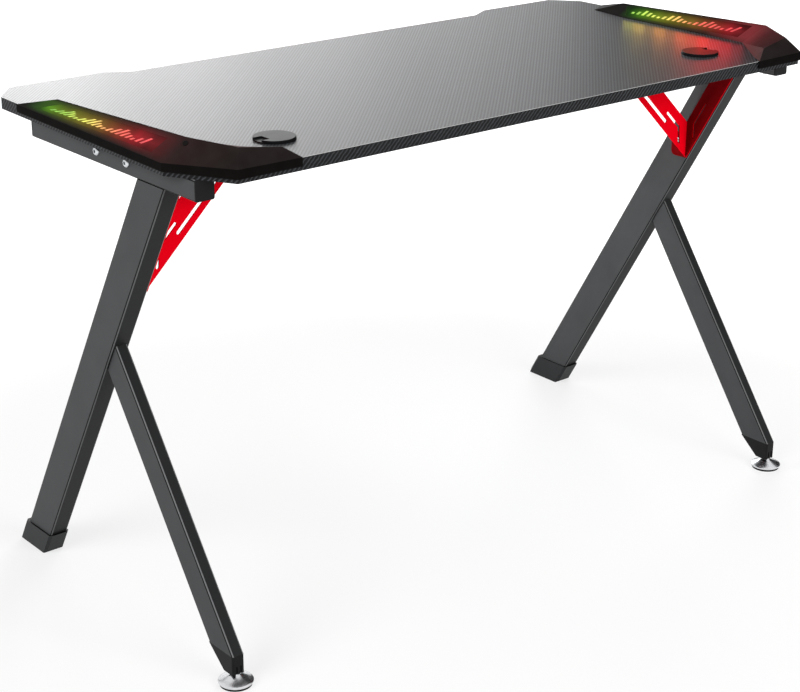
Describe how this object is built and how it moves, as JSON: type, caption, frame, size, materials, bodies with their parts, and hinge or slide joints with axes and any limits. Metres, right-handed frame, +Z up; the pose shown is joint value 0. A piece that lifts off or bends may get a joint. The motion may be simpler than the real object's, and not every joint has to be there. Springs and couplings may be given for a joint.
{
  "type": "gaming desk",
  "caption": "Desk with a notched carbon-look top on slanted steel side frames, folded braces, lit end covers, turning cable lids and levelling rear feet.",
  "frame": {"origin": "on the floor, under the middle of the desk's overall length and depth", "axes": "+X to the right end (the end with the light button, for a person sitting at the front), +Y to the rear edge, +Z up"},
  "size_m": [1.226, 0.618, 0.7826],
  "materials": {
    "particle_board": "raw board",
    "carbon_film": "embossed satin film",
    "edge_band": "satin edge band",
    "frame_paint": "satin powder coat",
    "brace_paint": "satin powder coat",
    "cover_plastic": "glossy moulded plastic",
    "lens_plastic": "translucent moulded plastic",
    "black_plastic": "satin moulded plastic",
    "cap_plastic": "matte moulded plastic",
    "button_plastic": "matte moulded plastic",
    "circuit_board": "white coated board",
    "light_chip": "potted diode",
    "foot_chrome": "bright plating",
    "pad_rubber": "matte rubber",
    "zinc_steel": "zinc plating",
    "insert_brass": "machined"
  },
  "bodies": {
    "desk": {"button_switch": "black_plastic", "cross_beam": "frame_paint", "desktop_core": "particle_board", "desktop_edge_band": "edge_band", "desktop_film": "carbon_film", "left_beam_bolts": "zinc_steel", "left_beam_nuts": "zinc_steel", "left_beam_plate": "frame_paint", "left_brace": "brace_paint", "left_brace_beam_screws": "zinc_steel", "left_brace_leg_screw": "zinc_steel", "left_cover": "cover_plastic", "left_cover_screws": "zinc_steel", "left_foot_insert": "insert_brass", "left_front_foot_cap": "cap_plastic", "left_grommet_sleeve": "black_plastic", "left_inner_lens": "lens_plastic", "left_light_chips": "light_chip", "left_light_strip": "circuit_board", "left_long_leg": "frame_paint", "left_outer_lens": "lens_plastic", "left_rail_front_plug": "black_plastic", "left_rail_rear_plug": "black_plastic", "left_rail_screws": "zinc_steel", "left_rear_foot_plug": "cap_plastic", "left_short_leg": "frame_paint", "left_top_rail": "frame_paint", "right_beam_bolts": "zinc_steel", "right_beam_nuts": "zinc_steel", "right_beam_plate": "frame_paint", "right_brace": "brace_paint", "right_brace_beam_screws": "zinc_steel", "right_brace_leg_screw": "zinc_steel", "right_cover": "cover_plastic", "right_cover_screws": "zinc_steel", "right_foot_insert": "insert_brass", "right_front_foot_cap": "cap_plastic", "right_grommet_sleeve": "black_plastic", "right_inner_lens": "lens_plastic", "right_light_chips": "light_chip", "right_light_strip": "circuit_board", "right_long_leg": "frame_paint", "right_outer_lens": "lens_plastic", "right_rail_front_plug": "black_plastic", "right_rail_rear_plug": "black_plastic", "right_rail_screws": "zinc_steel", "right_rear_foot_plug": "cap_plastic", "right_short_leg": "frame_paint", "right_top_rail": "frame_paint"},
    "right_grommet_lid": {"right_grommet_lid": "black_plastic"},
    "left_grommet_lid": {"left_grommet_lid": "black_plastic"},
    "light_button": {"light_button": "button_plastic"},
    "right_foot_base": {"right_foot_pad": "pad_rubber"},
    "right_foot_screw": {"right_foot_stud": "zinc_steel", "right_foot_dish": "foot_chrome"},
    "left_foot_base": {"left_foot_pad": "pad_rubber"},
    "left_foot_screw": {"left_foot_stud": "zinc_steel", "left_foot_dish": "foot_chrome"}
  },
  "joints": [
    {"name": "right_lid_turn", "type": "hinge", "parent": "desk", "child": "right_grommet_lid", "pos_m": [0.427, 0.198, 0.755], "axis": [0, 0, 1], "continuous": true},
    {"name": "right_foot_rise", "type": "slide", "parent": "desk", "child": "right_foot_base", "axis": [0, 0, 1], "range_m": [-0.0101, 0]},
    {"name": "right_foot_turn", "type": "hinge", "parent": "right_foot_base", "child": "right_foot_screw", "pos_m": [0.575, 0.283, 0.01], "axis": [0, 0, 1], "range_deg": [-2880, 0]},
    {"name": "left_lid_turn", "type": "hinge", "parent": "desk", "child": "left_grommet_lid", "pos_m": [-0.427, 0.198, 0.755], "axis": [0, 0, 1], "continuous": true},
    {"name": "left_foot_rise", "type": "slide", "parent": "desk", "child": "left_foot_base", "axis": [0, 0, 1], "range_m": [-0.0101, 0]},
    {"name": "left_foot_turn", "type": "hinge", "parent": "left_foot_base", "child": "left_foot_screw", "pos_m": [-0.575, 0.283, 0.01], "axis": [0, 0, 1], "range_deg": [-2880, 0]},
    {"name": "light_button_press", "type": "slide", "parent": "desk", "child": "light_button", "axis": [-0.6008, -0.3425, -0.7223], "range_m": [0, 0.001], "stiffness_N_per_m": 600, "springref_m": -0.001}
  ],
  "couplings": [
    {"joint": "right_foot_rise", "follows": "right_foot_turn", "m_per_rad": 0.00019894},
    {"joint": "left_foot_rise", "follows": "left_foot_turn", "m_per_rad": 0.00019894}
  ]
}
